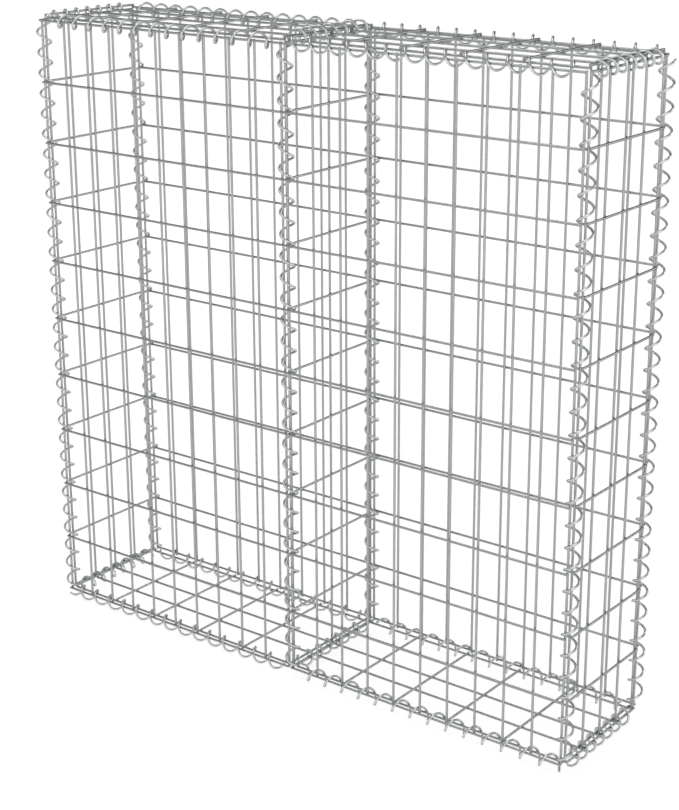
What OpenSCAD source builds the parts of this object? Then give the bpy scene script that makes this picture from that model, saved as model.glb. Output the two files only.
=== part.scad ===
// Gabion wall basket: two bays of welded wire mesh with a lid, laced along every edge by wire coils.
// X runs along the wall, Y from front to back, Z up. Lengths in mm.

/* [Basket] */
// Length of one bay, between the centres of its edge wires
bay_l = 500; // [300:10:1000]
// Depth between the edge wires of the end panels
depth = 200; // [100:10:600]
// Height between the lowest and the highest level wires
height = 1000; // [300:100:1500]

/* [Mesh] */
// Spacing of the upright wires of the long and end panels
upright_step = 50; // [25:5:100]
// Spacing of the level wires, and of the lid and base cross wires
level_step = 100; // [50:10:200]
// Number of upright wires in the middle panel
middle_uprights = 3; // [2:1:5]
// Diameter of the mesh wire
wire_d = 3.8; // [2.5:0.1:6]
// Depth to which welded wires press into each other
weld_sink = 0.1; // [0.05:0.05:0.4]
// Length of a cut end past the centre of an edge wire
cut_end = 1.9; // [1.5:0.1:2.4]

/* [Assembly] */
// Space between the edge wires of neighbouring bays
bay_gap = 8.4; // [7:0.1:14]
// Distance of the long panels' uprights outside the end panels' edge wires
long_out = 9.3; // [7:0.1:14]
// Distance of the end panels' uprights outside the bays' edge wires
end_out = 1.8; // [0:0.1:6]
// Clear height between the cut uprights and the lid wires
lid_clear = 0.2; // [0.1:0.05:3]
// Depth of the base's lengthwise wires below the lowest level wires
base_drop = 2.4; // [0:0.1:6]
// Clearance of the base panels from the end and middle panels
base_clear = 0.5; // [0.1:0.1:3]

/* [Coils] */
// Diameter of the coil wire
coil_wire = 3.8; // [2:0.1:5]
// Clearance of a coil on the wires that it seats on
coil_seat = 0.2; // [0.1:0.05:0.6]
// Room in a coil beyond the widest pair of wires that it laces
coil_room = 0.1; // [0.1:0.1:3]
// Turns of a long coil to each level wire spacing
long_turns = 3; // [2:1:4]
// Turns of a short coil to each upright wire spacing
short_turns = 2; // [1:1:3]
// Distance of a post coil's ends from the top and bottom level wires
post_inset = 2; // [2:1:40]
// Clearance of a lid or base coil's ends from the post coils
edge_clear = 0.4; // [0.2:0.1:30]
// Distance of a short coil's ends from the end panels' edge wires
end_inset = 12.5; // [12:0.5:50]
// Lean of the line from a front corner's long panel upright to its coil's centre
post_lean = 62; // [40:1:80]
// Lean of the line from a back corner's end panel upright to its coil's centre
back_lean = 78; // [60:1:90]
// Lean of the line from the lid's end wire to its coil's centre
end_lean = 69; // [40:1:90]
// Turn that a long coil keeps away from a wire that crosses it
long_keep = 49; // [48:1:60]
// Turn that a short coil keeps away from a wire that crosses it
short_keep = 58; // [54:1:66]

/* [Hidden] */
// area of an eight-sided bar matches the round wire
oct_r = wire_d / 2 * sqrt(PI / (4 * sin(45)));
cross = wire_d - weld_sink;
// half width of the square coil section with the area of the round wire
coil_h = coil_wire * sqrt(PI) / 4;
// straight lengths in one turn of a coil
seg = 8;
// slack that lets a row of wires reach its last place
row_slack = 0.01;
// places of the edge wires
x_in = bay_gap / 2;
x_out = x_in + bay_l;
y_edge = depth / 2;
y_up = y_edge + long_out;
y_lev = y_up + cross;
x_up = x_out + end_out;
x_lev = x_up + cross;
x_mid_up = -cross / 2;
x_mid_lev = cross / 2;
lid_rise = cut_end + lid_clear + wire_d / 2;
lid_cross = lid_rise + cross;
// the base lies between the end panels and the middle panel
base_cross = cross - base_drop;
base_in = cross / 2 + oct_r + base_clear + max(oct_r, cut_end);
base_out = x_up - oct_r - base_clear - max(oct_r, cut_end);
base_bays = floor(bay_l / level_step + row_slack);
base_step = (base_out - base_in) / base_bays;
// coil size from the widest pair, a long panel's top wire and the lid's edge wire
pair_half = norm([long_out + cross, lid_rise]) / 2;
hold = pair_half + coil_room;
coil_flat = hold + oct_r + coil_seat + coil_h * cos(180 / seg);
coil_v = coil_flat / cos(180 / seg);
coil_r = (coil_flat + coil_v) / 2;
coil_out = coil_v + coil_h;
long_pitch = level_step / long_turns;
short_pitch = upright_step / short_turns;
// turns at which the coils pass the wires that they seat on
back_post_keep = 1.25 * long_keep;
lid_front_turn = 65;
lid_back_turn = 75;
lid_end_turn = 120;
lid_mid_turn = 70;
base_front_turn = 90;
base_mid_turn = 270;
// distance of the middle posts' coils inside the long panels' uprights
mid_post_in = 0.8 * wire_d;

zinc = [0.70, 0.72, 0.73];

// straight wires from one value to another along each axis, with an edge towards the wires that they cross
module wire_x(x0, x1, y, z) {
    translate([x0, y, z]) rotate([0, 90, 0]) cylinder(r = oct_r, h = x1 - x0, $fn = 8);
}
module wire_y(y0, y1, x, z) {
    translate([x, y0, z]) rotate([-90, 0, 0]) cylinder(r = oct_r, h = y1 - y0, $fn = 8);
}
module wire_z(z0, z1, x, y) {
    translate([x, y, z0]) cylinder(r = oct_r, h = z1 - z0, $fn = 8);
}

// wire along one bay on the side s in X, between its edge wires at x0 and x1
module bay_wire(s, y, z, x0 = x_in, x1 = x_out) {
    wire_x((s > 0 ? x0 : -x1) - cut_end, (s > 0 ? x1 : -x0) + cut_end, y, z);
}
// long panel of one bay: s is the side in X, f the face in Y
module long_panel(s, f) {
    color(zinc) union() {
        for (x = [x_in : upright_step : x_out + row_slack])
            wire_z(-cut_end, height + cut_end, s * x, f * y_up);
        for (z = [0 : level_step : height + row_slack])
            bay_wire(s, f * y_lev, z);
    }
}
// end panel
module end_panel(s) {
    color(zinc) union() {
        for (y = [-y_edge : upright_step : y_edge + row_slack])
            wire_z(-cut_end, height + cut_end, s * x_up, y);
        for (z = [0 : level_step : height + row_slack])
            wire_y(-y_edge - cut_end, y_edge + cut_end, s * x_lev, z);
    }
}
// panel between the bays
module middle_panel() {
    color(zinc) union() {
        for (i = [0 : middle_uprights - 1])
            wire_z(-cut_end, height + cut_end, x_mid_up, -y_edge + i * depth / (middle_uprights - 1));
        for (z = [0 : level_step : height + row_slack])
            wire_y(-y_edge - cut_end, y_edge + cut_end, x_mid_lev, z);
    }
}
// lid of one bay, on the cut uprights
module lid_panel(s) {
    color(zinc) union() {
        for (y = [-y_edge : upright_step : y_edge + row_slack])
            bay_wire(s, y, height + lid_rise);
        for (x = [x_in : level_step : x_out + row_slack])
            wire_y(-y_edge - cut_end, y_edge + cut_end, s * x, height + lid_cross);
    }
}
// base of one bay, inside the other panels
module base_panel(s) {
    color(zinc) union() {
        for (y = [-y_edge : upright_step : y_edge + row_slack])
            bay_wire(s, y, -base_drop, base_in, base_out);
        for (i = [0 : base_bays])
            wire_y(-y_edge - cut_end, y_edge + cut_end, s * (base_in + i * base_step), base_cross);
    }
}

// coil as one swept tube: axis 0, 1 or 2, centre c in the plane across it, between l0 and l1,
// at angle a where it passes l = ref, turning h = 1 or -1 as l grows
function across(ax, u, v, l) = ax == 0 ? [l, u, v] : ax == 1 ? [u, l, v] : [u, v, l];
function turned(l, pitch, ref, a, h) = a + h * 360 * (l - ref) / pitch;
function past(w) = w - floor(w);
function tip(pitch) = coil_h / cos(atan2(pitch, 2 * PI * coil_r));
function coil_start(l0, pitch, ref, a, h) =
    l0 + past(h * (0.5 - turned(l0, pitch, ref, a, h) * seg / 360)) * pitch / seg;
function coil_steps(l0, l1, pitch, ref, a, h) =
    floor((l1 - coil_start(l0, pitch, ref, a, h)) * seg / pitch + row_slack);
function coil_points(ax, c, l0, l1, pitch, ref, a, h) =
    let (b = coil_start(l0, pitch, ref, a, h), n = coil_steps(l0, l1, pitch, ref, a, h))
    let (t = tip(pitch))
    [for (i = [0 : n]) for (q = [[-coil_h, -t], [coil_h, -t], [coil_h, t], [-coil_h, t]])
        let (l = b + i * pitch / seg, w = turned(l, pitch, ref, a, h))
        across(ax, c[0] + (coil_v + q[0]) * cos(w), c[1] + (coil_v + q[0]) * sin(w), l + q[1])];
module coil(ax, c, l0, l1, pitch, ref, a, h) {
    pts = coil_points(ax, c, l0, l1, pitch, ref, a, h);
    n = len(pts) / 4 - 1;
    flip = (ax == 1 ? -1 : 1) * h;
    side = [for (i = [0 : n - 1]) for (k = [0 : 3])
        let (p = i * 4 + k, q = i * 4 + (k + 1) % 4)
        for (f = [[p, q, q + 4], [p, q + 4, p + 4]])
            flip > 0 ? f : [f[2], f[1], f[0]]];
    first = flip > 0 ? [3, 2, 1, 0] : [0, 1, 2, 3];
    last = flip > 0 ? [0, 1, 2, 3] : [3, 2, 1, 0];
    caps = [first, [for (k = last) n * 4 + k]];
    color(zinc) polyhedron(points = pts, faces = concat(side, caps), convexity = 10);
}
// centre of a coil that seats on wires p and q, on the side given by w
function seat(p, q, w) =
    let (d = sqrt(max(0, hold * hold - pow(norm(q - p) / 2, 2))))
    (p + q) / 2 + w * d * [q[1] - p[1], p[0] - q[0]] / norm(q - p);

// coil centres: posts, long edges and short edges of lid (t = 1) and base (t = -1)
function corner_c(f) = f < 0
    ? [x_out + hold * cos(post_lean), hold * sin(post_lean) - y_up]
    : [x_up + hold * cos(back_lean), y_edge + hold * sin(back_lean)];
mid_post_x = x_mid_up + sqrt(hold * hold - pow(long_out - mid_post_in, 2));
mid_post_c = [mid_post_x, y_up - mid_post_in];
function level(t) = t > 0 ? height : 0;
function edge_c(t, f) =
    seat([f * y_lev, level(t)], [f * y_edge, level(t) + (t > 0 ? lid_rise : -base_drop)], -f);
function end_c(t) = t > 0
    ? [x_out + hold * cos(end_lean), height + lid_cross - hold * sin(end_lean)]
    : seat([base_out, base_cross], [x_lev, 0], 1);
function mid_c(t) = t > 0
    ? [0, height + sqrt(hold * hold - x_mid_lev * x_mid_lev)]
    : [0, base_cross - sqrt(max(0, hold * hold - base_in * base_in))];
// the part stands on its lowest coils
lift = coil_out * cos(180 / seg) - min(edge_c(-1, 1)[1], end_c(-1)[1], mid_c(-1)[1]);
module lifted() {
    translate([0, 0, lift]) children();
}

// corner post
module coil_corner(s, f) {
    c = corner_c(f);
    a1 = acos((x_lev - c[0]) / coil_r);
    a2 = 180 - asin((f * y_lev - c[1]) / coil_r);
    a = f < 0 ? (a1 + a2) / 2 : a2 - back_post_keep;
    coil(2, [s * c[0], c[1]], post_inset, height - post_inset, long_pitch, 0, s > 0 ? a : 180 - a, s);
}
// post between the bays
module coil_mid_post(f) {
    b = asin((y_lev - mid_post_c[1]) / coil_r);
    m = acos((x_mid_lev - mid_post_c[0]) / coil_r);
    a = (f < 0 ? m : b) - long_keep;
    coil(2, [mid_post_c[0], f * mid_post_c[1]], post_inset, height - post_inset, long_pitch, 0, a, -1);
}
// long edges of lid and base: past the post coils' sides, a coil runs on over or under their ends
function over_posts(c, t, a, x) =
    t * (c[1] + coil_v * sin(turned(x, long_pitch, x_in, a, t)) - level(t))
    > coil_h + tip(long_pitch) + edge_clear - post_inset;
function edge_end(c, t, a, x) =
    let (next = x + long_pitch / seg)
    next < x_out && over_posts(c, t, a, next) ? edge_end(c, t, a, next) : x;
module coil_edge(s, t, f) {
    c = edge_c(t, f);
    u = -t * acos((f * y_up - c[0]) / coil_r);
    lid_turn = f < 0 ? lid_front_turn : s < 0 ? lid_back_turn : -long_keep;
    base_turn = f > 0 ? long_keep - 180 : s < 0 ? base_front_turn : 180 - long_keep;
    a = u + (t > 0 ? lid_turn : base_turn);
    inner = mid_post_c[0] + coil_out + tip(long_pitch) + edge_clear;
    side = corner_c(f)[0] - coil_out - tip(long_pitch) - edge_clear;
    outer = edge_end(c, t, a, coil_start(side, long_pitch, x_in, a, t) - long_pitch / seg) + row_slack;
    coil(0, c, s > 0 ? inner : -outer, s > 0 ? outer : -inner, long_pitch, s * x_in, a, s * t);
}
// short edges over the end panels
module coil_end(s, t) {
    c = end_c(t);
    u = -t * acos((x_up - c[0]) / coil_r);
    a = t < 0 ? u - short_keep : s > 0 ? u + short_keep : u + lid_end_turn;
    w = s > 0 ? a : 180 - a;
    coil(1, [s * c[0], c[1]], end_inset - y_edge, y_edge - end_inset, short_pitch, -y_edge, w, -s * t);
}
// short edges over the middle panel
module coil_middle(t) {
    a = t > 0 ? lid_mid_turn : base_mid_turn;
    coil(1, mid_c(t), end_inset - y_edge, y_edge - end_inset, short_pitch, -y_edge, a, -t);
}

module front_left() { lifted() long_panel(-1, -1); }
module front_right() { lifted() long_panel(1, -1); }
module back_left() { lifted() long_panel(-1, 1); }
module back_right() { lifted() long_panel(1, 1); }
module end_left() { lifted() end_panel(-1); }
module end_right() { lifted() end_panel(1); }
module middle() { lifted() middle_panel(); }
module base_left() { lifted() base_panel(-1); }
module base_right() { lifted() base_panel(1); }
module lid_left() { lifted() lid_panel(-1); }
module lid_right() { lifted() lid_panel(1); }
module coil_post_front_left() { lifted() coil_corner(-1, -1); }
module coil_post_front_mid() { lifted() coil_mid_post(-1); }
module coil_post_front_right() { lifted() coil_corner(1, -1); }
module coil_post_back_left() { lifted() coil_corner(-1, 1); }
module coil_post_back_mid() { lifted() coil_mid_post(1); }
module coil_post_back_right() { lifted() coil_corner(1, 1); }
module coil_lid_front_left() { lifted() coil_edge(-1, 1, -1); }
module coil_lid_front_right() { lifted() coil_edge(1, 1, -1); }
module coil_lid_back_left() { lifted() coil_edge(-1, 1, 1); }
module coil_lid_back_right() { lifted() coil_edge(1, 1, 1); }
module coil_lid_end_left() { lifted() coil_end(-1, 1); }
module coil_lid_mid() { lifted() coil_middle(1); }
module coil_lid_end_right() { lifted() coil_end(1, 1); }
module coil_base_front_left() { lifted() coil_edge(-1, -1, -1); }
module coil_base_front_right() { lifted() coil_edge(1, -1, -1); }
module coil_base_back_left() { lifted() coil_edge(-1, -1, 1); }
module coil_base_back_right() { lifted() coil_edge(1, -1, 1); }
module coil_base_end_left() { lifted() coil_end(-1, -1); }
module coil_base_mid() { lifted() coil_middle(-1); }
module coil_base_end_right() { lifted() coil_end(1, -1); }

front_left();
front_right();
back_left();
back_right();
end_left();
end_right();
middle();
base_left();
base_right();
lid_left();
lid_right();
coil_post_front_left();
coil_post_front_mid();
coil_post_front_right();
coil_post_back_left();
coil_post_back_mid();
coil_post_back_right();
coil_lid_front_left();
coil_lid_front_right();
coil_lid_back_left();
coil_lid_back_right();
coil_lid_end_left();
coil_lid_mid();
coil_lid_end_right();
coil_base_front_left();
coil_base_front_right();
coil_base_back_left();
coil_base_back_right();
coil_base_end_left();
coil_base_mid();
coil_base_end_right();
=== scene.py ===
import math

import bpy
from mathutils import Matrix, Vector


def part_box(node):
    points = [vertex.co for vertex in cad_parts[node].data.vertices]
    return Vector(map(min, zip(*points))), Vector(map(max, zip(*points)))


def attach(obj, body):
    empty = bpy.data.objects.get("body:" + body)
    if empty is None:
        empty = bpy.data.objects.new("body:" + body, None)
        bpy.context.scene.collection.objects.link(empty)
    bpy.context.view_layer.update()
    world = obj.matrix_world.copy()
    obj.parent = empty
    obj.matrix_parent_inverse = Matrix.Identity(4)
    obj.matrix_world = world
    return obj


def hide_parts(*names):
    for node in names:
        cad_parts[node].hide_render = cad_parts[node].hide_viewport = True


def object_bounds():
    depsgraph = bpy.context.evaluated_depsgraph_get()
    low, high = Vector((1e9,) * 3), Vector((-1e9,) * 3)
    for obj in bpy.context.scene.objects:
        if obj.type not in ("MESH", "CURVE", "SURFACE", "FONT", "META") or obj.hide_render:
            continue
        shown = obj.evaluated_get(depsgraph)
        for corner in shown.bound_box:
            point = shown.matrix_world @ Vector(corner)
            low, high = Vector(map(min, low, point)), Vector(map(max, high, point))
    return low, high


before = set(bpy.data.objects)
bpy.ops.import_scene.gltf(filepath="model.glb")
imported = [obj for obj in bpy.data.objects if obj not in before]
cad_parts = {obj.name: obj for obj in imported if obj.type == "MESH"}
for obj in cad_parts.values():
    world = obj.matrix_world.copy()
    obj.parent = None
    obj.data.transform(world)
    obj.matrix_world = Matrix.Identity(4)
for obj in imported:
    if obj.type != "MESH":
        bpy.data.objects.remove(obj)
cad_low, cad_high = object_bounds()

# Base panels: one flat mesh to each bay, of straight drawn steel wire, hot-dip galvanised.
# The cross wires lie on the lengthwise ones, and every crossing is a resistance weld that
# presses the wires a little into each other.
MM = 0.001
X, Y, Z = Vector((1, 0, 0)), Vector((0, 1, 0)), Vector((0, 0, 1))
wire_diameter = 3.8 * MM
weld_sink = 0.1 * MM
cut_end = 1.9 * MM
shear_chamfer = 0.4 * MM
shear_narrowing = 0.72
nugget_width = 4.6 * MM
nugget_depth = 2.2 * MM
wire_sides = 16


def add_node(tree, kind, feeds=None, **options):
    """Adds a node with its options, and sets or links its inputs by name or number."""
    made = tree.nodes.new(kind)
    for option, value in options.items():
        setattr(made, option, value)
    for socket, value in (feeds or {}).items():
        if isinstance(value, bpy.types.NodeSocket):
            tree.links.new(value, made.inputs[socket])
        else:
            made.inputs[socket].default_value = value
    return made


def linear(hex_colour):
    """An sRGB hex colour as linear RGBA."""
    channels = [int(hex_colour[i : i + 2], 16) / 255 for i in (1, 3, 5)]
    return [c / 12.92 if c <= 0.04045 else ((c + 0.055) / 1.055) ** 2.4 for c in channels] + [1.0]


def galvanised_wire(name, bright, dull):
    """Drawn steel wire with a zinc coat: soft metallic grey that stays dull at grazing angles,
    cloudy in patches of about 14 mm, with faint lines along the wire from the drawing die."""
    zinc_patch, die_line, die_run = 14 * MM, 0.6 * MM, 70 * MM
    material = bpy.data.materials.new(name)
    material.use_nodes = True
    tree = material.node_tree
    shader = tree.nodes["Principled BSDF"]
    shader.inputs["Metallic"].default_value = 1.0
    shader.inputs["Specular Tint"].default_value = linear("#8C8C8C")
    place = add_node(tree, "ShaderNodeTexCoord").outputs["Object"]
    patches = add_node(
        tree, "ShaderNodeTexNoise", {"Vector": place, "Scale": 1 / zinc_patch, "Detail": 4.0}
    ).outputs["Fac"]
    wire = add_node(
        tree, "ShaderNodeAttribute", attribute_name="wire_place", attribute_type="GEOMETRY"
    ).outputs["Vector"]
    stretched = add_node(
        tree,
        "ShaderNodeVectorMath",
        {0: wire, 1: (1 / die_line, 1 / die_line, 1 / die_run)},
        operation="MULTIPLY",
    ).outputs["Vector"]
    lines = add_node(
        tree, "ShaderNodeTexNoise", {"Vector": stretched, "Scale": 1.0, "Detail": 2.0}
    ).outputs["Fac"]
    factor, dull_end, bright_end, mixed = 0, 6, 7, 2
    colour = add_node(
        tree,
        "ShaderNodeMix",
        {factor: patches, dull_end: linear(dull), bright_end: linear(bright)},
        data_type="RGBA",
    ).outputs[mixed]
    rough = add_node(
        tree,
        "ShaderNodeMapRange",
        {"Value": lines, "From Min": 0.3, "From Max": 0.7, "To Min": 0.28, "To Max": 0.42},
    ).outputs["Result"]
    tree.links.new(colour, shader.inputs["Base Color"])
    tree.links.new(rough, shader.inputs["Roughness"])
    relief = add_node(
        tree, "ShaderNodeBump", {"Height": lines, "Strength": 0.12, "Distance": 0.05 * MM}
    ).outputs["Normal"]
    tree.links.new(relief, shader.inputs["Normal"])
    return material


mesh_wire = galvanised_wire("galvanised drawn steel wire", "#B9BBBB", "#A3A6A6")


def open_tree(name, counts, sizes, result):
    """A Geometry Nodes tree with its inputs: the tree, their identifiers and their sockets."""
    tree = bpy.data.node_groups.new(name, "GeometryNodeTree")
    sockets = [(label, "NodeSocketInt") for label in counts]
    sockets += [(label, "NodeSocketFloat") for label in sizes]
    sockets.append(("Material", "NodeSocketMaterial"))
    identifiers = {}
    for label, kind in sockets:
        made = tree.interface.new_socket(label, in_out="INPUT", socket_type=kind)
        identifiers[label] = made.identifier
    tree.interface.new_socket(result, in_out="OUTPUT", socket_type="NodeSocketGeometry")
    return tree, identifiers, add_node(tree, "NodeGroupInput").outputs


panel_counts = ("First wires", "Second wires")
panel_sizes = (
    "First spacing",
    "Second spacing",
    "Wire diameter",
    "Weld sink",
    "Cut end",
    "Chamfer",
    "Nugget width",
    "Nugget depth",
)
panel_tree, panel_inputs, panel_asked = open_tree(
    "welded mesh panel", panel_counts, panel_sizes, "Panel"
)


def sums(tree, operation, *values):
    """One arithmetic step on numbers or sockets."""
    feeds = dict(enumerate(values))
    return add_node(tree, "ShaderNodeMath", feeds, operation=operation).outputs["Value"]


def point(tree, x=0.0, y=0.0, z=0.0):
    """A point from three numbers or sockets."""
    return add_node(tree, "ShaderNodeCombineXYZ", {"X": x, "Y": y, "Z": z}).outputs["Vector"]


def drawn_round(tree, path, diameter, sides, run):
    """A round wire along a path, which keeps its place round and along the wire for the finish."""
    ring = add_node(tree, "GeometryNodeCurvePrimitiveCircle", {"Resolution": sides, "Radius": 0.5})
    spot = add_node(tree, "GeometryNodeInputPosition").outputs["Position"]
    keep_ring = add_node(tree, "GeometryNodeCaptureAttribute", {"Geometry": ring.outputs["Curve"]})
    keep_ring.capture_items.new("VECTOR", "round")
    tree.links.new(spot, keep_ring.inputs["round"])
    keep_run = add_node(tree, "GeometryNodeCaptureAttribute", {"Geometry": path})
    keep_run.capture_items.new("FLOAT", "run")
    tree.links.new(run, keep_run.inputs["run"])
    radius = add_node(tree, "GeometryNodeInputRadius").outputs["Radius"]
    tube = add_node(
        tree,
        "GeometryNodeCurveToMesh",
        {
            "Curve": keep_run.outputs["Geometry"],
            "Profile Curve": keep_ring.outputs["Geometry"],
            "Scale": sums(tree, "MULTIPLY", radius, diameter),
            "Fill Caps": True,
        },
    ).outputs["Mesh"]
    around = add_node(
        tree,
        "ShaderNodeVectorMath",
        {0: keep_ring.outputs["round"], "Scale": diameter},
        operation="SCALE",
    ).outputs["Vector"]
    along = point(tree, z=keep_run.outputs["run"])
    wire_place = add_node(tree, "ShaderNodeVectorMath", {0: around, 1: along}, operation="ADD")
    return add_node(
        tree,
        "GeometryNodeStoreNamedAttribute",
        {"Geometry": tube, "Name": "wire_place", "Value": wire_place.outputs["Vector"]},
        data_type="FLOAT_VECTOR",
        domain="POINT",
    ).outputs["Geometry"]


def row_of_wires(tree, count, spacing, length, across, along, height):
    """Like wires side by side, each with sheared ends just past its outermost welds."""
    start = sums(tree, "MULTIPLY", panel_asked["Cut end"], -1.0)
    finish = sums(tree, "ADD", length, panel_asked["Cut end"])
    index = add_node(tree, "GeometryNodeInputIndex").outputs["Index"]
    line = add_node(tree, "GeometryNodeCurvePrimitiveLine").outputs["Curve"]
    line = add_node(tree, "GeometryNodeResampleCurve", {"Curve": line, "Count": 4}).outputs["Curve"]
    stops = (
        start,
        sums(tree, "ADD", start, panel_asked["Chamfer"]),
        sums(tree, "SUBTRACT", finish, panel_asked["Chamfer"]),
        finish,
    )
    widths = (shear_narrowing, 1.0, 1.0, shear_narrowing)
    picked = []
    for values in (stops, widths):
        switch = add_node(tree, "GeometryNodeIndexSwitch", data_type="FLOAT")
        while len(switch.index_switch_items) < len(values):
            switch.index_switch_items.new()
        tree.links.new(index, switch.inputs["Index"])
        for slot, value in enumerate(values):
            if isinstance(value, bpy.types.NodeSocket):
                tree.links.new(value, switch.inputs[1 + slot])
            else:
                switch.inputs[1 + slot].default_value = value
        picked.append(switch.outputs["Output"])
    at = point(tree, **{along: picked[0], "z": height})
    line = add_node(tree, "GeometryNodeSetPosition", {"Geometry": line, "Position": at})
    line = add_node(
        tree,
        "GeometryNodeSetCurveRadius",
        {"Curve": line.outputs["Geometry"], "Radius": picked[1]},
    ).outputs["Curve"]
    spots = add_node(
        tree,
        "GeometryNodeMeshLine",
        {"Count": count, "Offset": point(tree, **{across: spacing})},
        mode="OFFSET",
    ).outputs["Mesh"]
    rows = add_node(tree, "GeometryNodeInstanceOnPoints", {"Points": spots, "Instance": line})
    rows = add_node(tree, "GeometryNodeRealizeInstances", {"Geometry": rows.outputs["Instances"]})
    run = add_node(tree, "GeometryNodeSplineParameter").outputs["Length"]
    return drawn_round(tree, rows.outputs["Geometry"], panel_asked["Wire diameter"], wire_sides, run)


first_span, second_span = (
    sums(
        panel_tree,
        "MULTIPLY",
        sums(panel_tree, "SUBTRACT", panel_asked[row + " wires"], 1.0),
        panel_asked[row + " spacing"],
    )
    for row in ("First", "Second")
)
press = sums(panel_tree, "SUBTRACT", panel_asked["Wire diameter"], panel_asked["Weld sink"])
first_row = row_of_wires(
    panel_tree, panel_asked["First wires"], panel_asked["First spacing"], second_span, "x", "y", 0.0
)
second_row = row_of_wires(
    panel_tree, panel_asked["Second wires"], panel_asked["Second spacing"], first_span, "y", "x", press
)
crossings = add_node(
    panel_tree,
    "GeometryNodeMeshGrid",
    {
        "Size X": first_span,
        "Size Y": second_span,
        "Vertices X": panel_asked["First wires"],
        "Vertices Y": panel_asked["Second wires"],
    },
).outputs["Mesh"]
crossings = add_node(
    panel_tree,
    "GeometryNodeSetPosition",
    {
        "Geometry": crossings,
        "Offset": point(
            panel_tree,
            sums(panel_tree, "MULTIPLY", first_span, 0.5),
            sums(panel_tree, "MULTIPLY", second_span, 0.5),
            sums(panel_tree, "MULTIPLY", press, 0.5),
        ),
    },
).outputs["Geometry"]
bead = add_node(panel_tree, "GeometryNodeMeshUVSphere", {"Segments": 10, "Rings": 6, "Radius": 0.5})
nuggets = add_node(
    panel_tree,
    "GeometryNodeInstanceOnPoints",
    {
        "Points": crossings,
        "Instance": bead.outputs["Mesh"],
        "Scale": point(
            panel_tree,
            panel_asked["Nugget width"],
            panel_asked["Nugget width"],
            panel_asked["Nugget depth"],
        ),
    },
).outputs["Instances"]
panel = add_node(panel_tree, "GeometryNodeJoinGeometry")
for piece in (first_row, second_row, nuggets):
    panel_tree.links.new(piece, panel.inputs["Geometry"])
panel = add_node(
    panel_tree, "GeometryNodeRealizeInstances", {"Geometry": panel.outputs["Geometry"]}
)
panel = add_node(
    panel_tree,
    "GeometryNodeSetMaterial",
    {"Geometry": panel.outputs["Geometry"], "Material": panel_asked["Material"]},
)
add_node(panel_tree, "NodeGroupOutput", {"Panel": panel.outputs["Geometry"]})

crease = math.radians(40)


def make_piece(name, tree, inputs, values, place):
    """Runs a tree into a plain mesh at its place, and has it stand for the node of that name."""
    seed = bpy.data.meshes.new(name + "_seed")
    worker = bpy.data.objects.new(name + "_worker", seed)
    bpy.context.scene.collection.objects.link(worker)
    modifier = worker.modifiers.new("shape", "NODES")
    modifier.node_group = tree
    for label, value in values.items():
        modifier[inputs[label]] = value
    depsgraph = bpy.context.evaluated_depsgraph_get()
    mesh = bpy.data.meshes.new_from_object(
        worker.evaluated_get(depsgraph), preserve_all_data_layers=True, depsgraph=depsgraph
    )
    worker.modifiers.remove(modifier)
    bpy.data.objects.remove(worker)
    mesh.transform(place)
    mesh.polygons.foreach_set("use_smooth", [True] * len(mesh.polygons))
    mesh.set_sharp_from_angle(angle=crease)
    piece = bpy.data.objects.new(name + "_wire", mesh)
    bpy.context.scene.collection.objects.link(piece)
    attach(piece, "root")
    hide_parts(name)


def placed(across, along, out, corner):
    """The matrix of three directions and the corner that they start from."""
    return Matrix.Translation(corner) @ Matrix((across, along, out)).transposed().to_4x4()


def weld_panel(name, across, along, out, first_wires, second_wires):
    """A mesh panel in its node's box: the first wires run along, the second ones outside them."""
    low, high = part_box(name)
    reach = [sorted((low.dot(d), high.dot(d))) for d in (across, along, out)]
    spans = [b - a - 2 * cut_end for a, b in reach[:2]]
    inner = (sum(reach[2]) - (wire_diameter - weld_sink)) / 2
    corner = across * (reach[0][0] + cut_end) + along * (reach[1][0] + cut_end) + out * inner
    values = {
        "First wires": first_wires,
        "First spacing": spans[0] / (first_wires - 1),
        "Second wires": second_wires,
        "Second spacing": spans[1] / (second_wires - 1),
        "Wire diameter": wire_diameter,
        "Weld sink": weld_sink,
        "Cut end": cut_end,
        "Chamfer": shear_chamfer,
        "Nugget width": nugget_width,
        "Nugget depth": nugget_depth,
        "Material": mesh_wire,
    }
    place = placed(across, along, out, corner)
    make_piece(name, panel_tree, panel_inputs, values, place)


lengthwise_wires = 5
cross_wires = 6
for name in ("base_left", "base_right"):
    weld_panel(name, -Y, X, Z, lengthwise_wires, cross_wires)

# Long panels: front and back of each bay, the same welded mesh with its uprights 5 cm apart
# and its level wires 10 cm apart on the outside. They stand on the base and are laced to it.
bay_uprights = 11
level_wires = 11
for name in ("front_left", "front_right"):
    weld_panel(name, X, Z, -Y, bay_uprights, level_wires)
for name in ("back_left", "back_right"):
    weld_panel(name, -X, Z, Y, bay_uprights, level_wires)

# End panels: the narrow welded panels that close the wall, set between the long ones, with
# their level wires outside too.
end_uprights = 5
weld_panel("end_left", -Y, Z, -X, end_uprights, level_wires)
weld_panel("end_right", Y, Z, X, end_uprights, level_wires)

# Middle panel: the partition between the bays, welded with three uprights only, which keeps
# the long faces from bulging when the stones are in.
middle_uprights = 3
weld_panel("middle", Y, Z, X, middle_uprights, level_wires)

# Lid panels: the same mesh as the base, a little longer, laid on the cut uprights when the
# bay is full.
for name in ("lid_left", "lid_right"):
    weld_panel(name, -Y, X, Z, lengthwise_wires, cross_wires)

# Lacing coils: spirals of galvanised wire as thick as the mesh, screwed round the edge wires
# of neighbouring panels, which they hold together. Six stand in the posts, and the others
# close the long and short edges of base and lid.
coil_diameter = 3.8 * MM
# the solid's square section has the area of the round wire, in eight lengths a turn
solid_reach = coil_diameter * math.sqrt(math.pi) / 4 * math.cos(math.pi / 8)
coil_sides = 12
steps_per_turn = 28
long_pitch = 100 * MM / 3
short_pitch = 25 * MM

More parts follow.
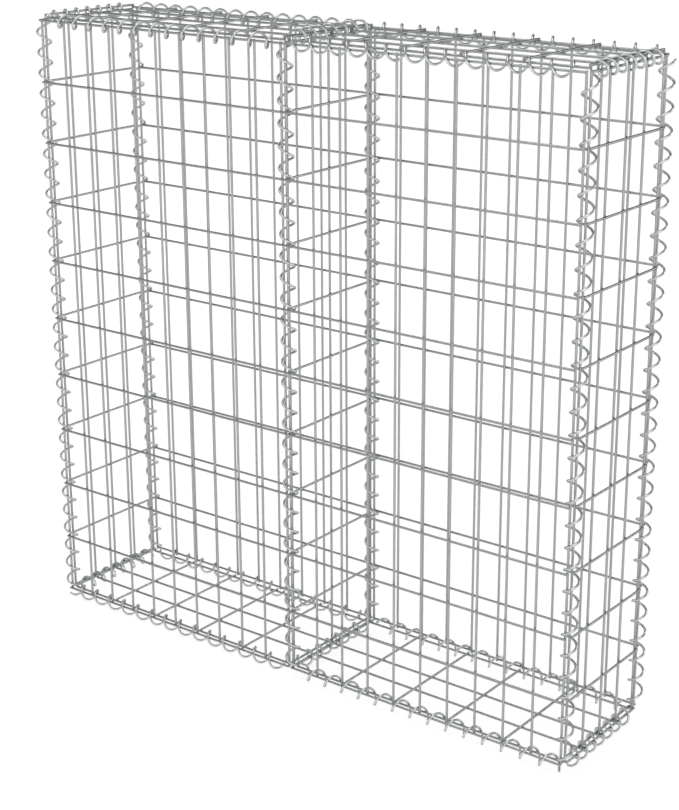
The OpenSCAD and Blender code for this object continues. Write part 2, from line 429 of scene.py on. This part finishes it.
# painted light: the lacing wire's two colours are lighter than the mesh wire's, though it is the same
# galvanised wire, so the coils show the brighter light they catch
coil_wire_painted_lighter = galvanised_wire("galvanised lacing wire painted lighter", "#DEE0E0", "#CACDCD")

coil_sizes = ("Length", "Pitch", "Radius", "Start angle", "Hand", "Wire diameter")
coil_tree, coil_inputs, coil_asked = open_tree("lacing coil", (), coil_sizes, "Coil")
turns = sums(coil_tree, "DIVIDE", coil_asked["Length"], coil_asked["Pitch"])
steps = sums(coil_tree, "ROUND", sums(coil_tree, "MULTIPLY", turns, float(steps_per_turn)))
axis_line = add_node(
    coil_tree, "GeometryNodeCurvePrimitiveLine", {"End": point(coil_tree, z=coil_asked["Length"])}
).outputs["Curve"]
axis_line = add_node(
    coil_tree, "GeometryNodeResampleCurve", {"Curve": axis_line, "Count": steps}
).outputs["Curve"]
risen = add_node(coil_tree, "GeometryNodeSplineParameter").outputs["Length"]
winding = sums(coil_tree, "MULTIPLY", sums(coil_tree, "DIVIDE", risen, coil_asked["Pitch"]), math.tau)
angle = sums(
    coil_tree,
    "ADD",
    sums(coil_tree, "MULTIPLY", winding, coil_asked["Hand"]),
    coil_asked["Start angle"],
)
helix = add_node(
    coil_tree,
    "GeometryNodeSetPosition",
    {
        "Geometry": axis_line,
        "Position": point(
            coil_tree,
            sums(coil_tree, "MULTIPLY", sums(coil_tree, "COSINE", angle), coil_asked["Radius"]),
            sums(coil_tree, "MULTIPLY", sums(coil_tree, "SINE", angle), coil_asked["Radius"]),
            risen,
        ),
    },
).outputs["Geometry"]
tips = add_node(coil_tree, "GeometryNodeCurveEndpointSelection").outputs["Selection"]
helix = add_node(coil_tree, "GeometryNodeSetCurveRadius", {"Curve": helix, "Radius": 1.0})
helix = add_node(
    coil_tree,
    "GeometryNodeSetCurveRadius",
    {"Curve": helix.outputs["Curve"], "Selection": tips, "Radius": shear_narrowing},
).outputs["Curve"]
run = add_node(coil_tree, "GeometryNodeSplineParameter").outputs["Length"]
coil = drawn_round(coil_tree, helix, coil_asked["Wire diameter"], coil_sides, run)
coil = add_node(coil_tree, "GeometryNodeRealizeInstances", {"Geometry": coil})
coil = add_node(
    coil_tree,
    "GeometryNodeSetMaterial",
    {"Geometry": coil.outputs["Geometry"], "Material": coil_asked["Material"]},
)
add_node(coil_tree, "NodeGroupOutput", {"Coil": coil.outputs["Geometry"]})


def wind_coil(name, across, up, axis, hand, pitch):
    """A coil in its node's box, which starts where its solid starts."""
    low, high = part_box(name)
    centre = (low + high) / 2
    width = abs((high - low).dot(across))
    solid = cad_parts[name].data.vertices
    first = min((v.co for v in solid), key=lambda co: co.dot(axis))
    last = max((v.co for v in solid), key=lambda co: co.dot(axis))
    start_angle = math.atan2((first - centre).dot(up), (first - centre).dot(across))
    margin = coil_diameter / 2
    length = (last - first).dot(axis) - 2 * margin
    corner = centre + axis * ((first - centre).dot(axis) + margin)
    values = {
        "Length": length,
        "Pitch": pitch,
        "Radius": width / 2 - solid_reach,
        "Start angle": start_angle,
        "Hand": hand,
        "Wire diameter": coil_diameter,
        "Material": coil_wire_painted_lighter,
    }
    place = placed(across, up, axis, corner)
    make_piece(name, coil_tree, coil_inputs, values, place)


right_handed, left_handed = 1.0, -1.0
for face in ("front", "back"):
    wind_coil(f"coil_post_{face}_right", X, Y, Z, right_handed, long_pitch)
    wind_coil(f"coil_post_{face}_left", X, Y, Z, left_handed, long_pitch)
    wind_coil(f"coil_post_{face}_mid", X, Y, Z, left_handed, long_pitch)
    wind_coil(f"coil_lid_{face}_right", Y, Z, X, right_handed, long_pitch)
    wind_coil(f"coil_lid_{face}_left", Y, Z, X, left_handed, long_pitch)
    wind_coil(f"coil_base_{face}_right", Y, Z, X, left_handed, long_pitch)
    wind_coil(f"coil_base_{face}_left", Y, Z, X, right_handed, long_pitch)
for edge, lid_hand in (("end_right", right_handed), ("end_left", left_handed), ("mid", right_handed)):
    wind_coil(f"coil_lid_{edge}", X, -Z, Y, lid_hand, short_pitch)
    wind_coil(f"coil_base_{edge}", X, -Z, Y, -lid_hand, short_pitch)

# Studio: a wide white floor that keeps a faint shadow, and a pale room with a dim ceiling, so
# that the wires show grey on white, with soft boxes to the right, overhead, beside the camera
# and behind the wall.
floor_half = 40.0
near_reach, far_reach = 0.8, 4.0
near_glow, far_glow = 0.86, 0.95
wall_light, ceiling_light = 1.0, 0.25
wall_rise, ceiling_rise = 0.03, 0.2
floor_mesh = bpy.data.meshes.new("floor")
floor_mesh.from_pydata(
    [(x * floor_half, y * floor_half, 0) for x, y in ((-1, -1), (1, -1), (1, 1), (-1, 1))],
    [],
    [(0, 1, 2, 3)],
)
floor = bpy.data.objects.new("floor", floor_mesh)
bpy.context.scene.collection.objects.link(floor)
white_floor = bpy.data.materials.new("white studio floor")
white_floor.use_nodes = True
tree = white_floor.node_tree
tree.nodes.remove(tree.nodes["Principled BSDF"])
seen = add_node(tree, "ShaderNodeLightPath").outputs
straight = sums(
    tree,
    "MAXIMUM",
    seen["Is Camera Ray"],
    sums(tree, "MAXIMUM", seen["Is Glossy Ray"], seen["Is Transmission Ray"]),
)
paper = add_node(tree, "ShaderNodeBsdfDiffuse", {"Color": linear("#E4E4E4")}).outputs["BSDF"]
soft_paper = add_node(tree, "ShaderNodeBsdfDiffuse", {"Color": linear("#8A8A8A")}).outputs["BSDF"]
floor_place = add_node(tree, "ShaderNodeTexCoord").outputs["Object"]
from_wall = add_node(tree, "ShaderNodeVectorMath", {0: floor_place}, operation="LENGTH")
# the glow grows where the lamps' light on the floor fades, so that the floor stays white
glow_there = add_node(
    tree,
    "ShaderNodeMapRange",
    {
        "Value": from_wall.outputs["Value"],
        "From Min": near_reach,
        "From Max": far_reach,
        "To Min": near_glow,
        "To Max": far_glow,
    },
).outputs["Result"]
glow = add_node(tree, "ShaderNodeEmission", {"Strength": glow_there}).outputs["Emission"]
lit_paper = add_node(tree, "ShaderNodeAddShader", {0: glow, 1: soft_paper}).outputs["Shader"]
shown = add_node(tree, "ShaderNodeMixShader", {0: straight, 1: paper, 2: lit_paper})
tree.links.new(shown.outputs["Shader"], tree.nodes["Material Output"].inputs["Surface"])
floor_mesh.materials.append(white_floor)

world = bpy.data.worlds.new("pale room")
bpy.context.scene.world = world
world.use_nodes = True
tree = world.node_tree
sky = tree.nodes["Background"]
seen = add_node(tree, "ShaderNodeLightPath").outputs
heading = add_node(tree, "ShaderNodeTexCoord").outputs["Generated"]
rise = add_node(tree, "ShaderNodeSeparateXYZ", {"Vector": heading}).outputs["Z"]
wall_to_ceiling = add_node(
    tree,
    "ShaderNodeMapRange",
    {
        "Value": rise,
        "From Min": wall_rise,
        "From Max": ceiling_rise,
        "To Min": wall_light,
        "To Max": ceiling_light,
    },
    interpolation_type="SMOOTHSTEP",
).outputs["Result"]
strength = sums(tree, "MAXIMUM", wall_to_ceiling, seen["Is Camera Ray"])
tree.links.new(strength, sky.inputs["Strength"])
sky.inputs["Color"].default_value = (1, 1, 1, 1)


def soft_lamp(name, place, aim, size, power):
    """A square soft box that faces a point."""
    data = bpy.data.lights.new(name, "AREA")
    data.size = size
    data.energy = power
    lamp = bpy.data.objects.new(name, data)
    lamp.location = place
    lamp.rotation_euler = (aim - place).to_track_quat("-Z", "Y").to_euler()
    bpy.context.scene.collection.objects.link(lamp)


middle_of_wall = (cad_low + cad_high) / 2
soft_lamp("right soft box", Vector((2.8, 2.2, 1.8)), middle_of_wall, size=1.4, power=24)
soft_lamp("top soft box", Vector((-0.6, -0.8, 3.6)), middle_of_wall, size=2.4, power=40)
soft_lamp("front soft box", Vector((2.5, -2.6, 1.7)), middle_of_wall, size=2.0, power=24)
soft_lamp("back soft box", Vector((-2.2, 2.6, 1.9)), middle_of_wall, size=2.4, power=32)

# Camera: a little above the lid, turned to the right-hand corner of the wall, with its lens
# shifted a little, as the view is framed.
frame_height_px = 810
frame_width_px = 679
sensor = 36.0
focal_px = 1725.55
centre_px = (363.91, 358.38)
eye = Vector((1.61087, -2.05176, 1.32236))
yaw, pitch, roll = 0.64575, 0.30133, 0.00011
camera_data = bpy.data.cameras.new("camera")
camera_data.sensor_width = sensor
camera_data.lens = focal_px * sensor / frame_height_px
camera_data.shift_x = (frame_width_px / 2 - centre_px[0]) / frame_height_px
camera_data.shift_y = (centre_px[1] - frame_height_px / 2) / frame_height_px
camera = bpy.data.objects.new("camera", camera_data)
camera.location = eye
camera.rotation_euler = (math.pi / 2 - pitch, roll, yaw)
bpy.context.scene.collection.objects.link(camera)
bpy.context.scene.camera = camera
bpy.context.scene.view_settings.view_transform = "Standard"
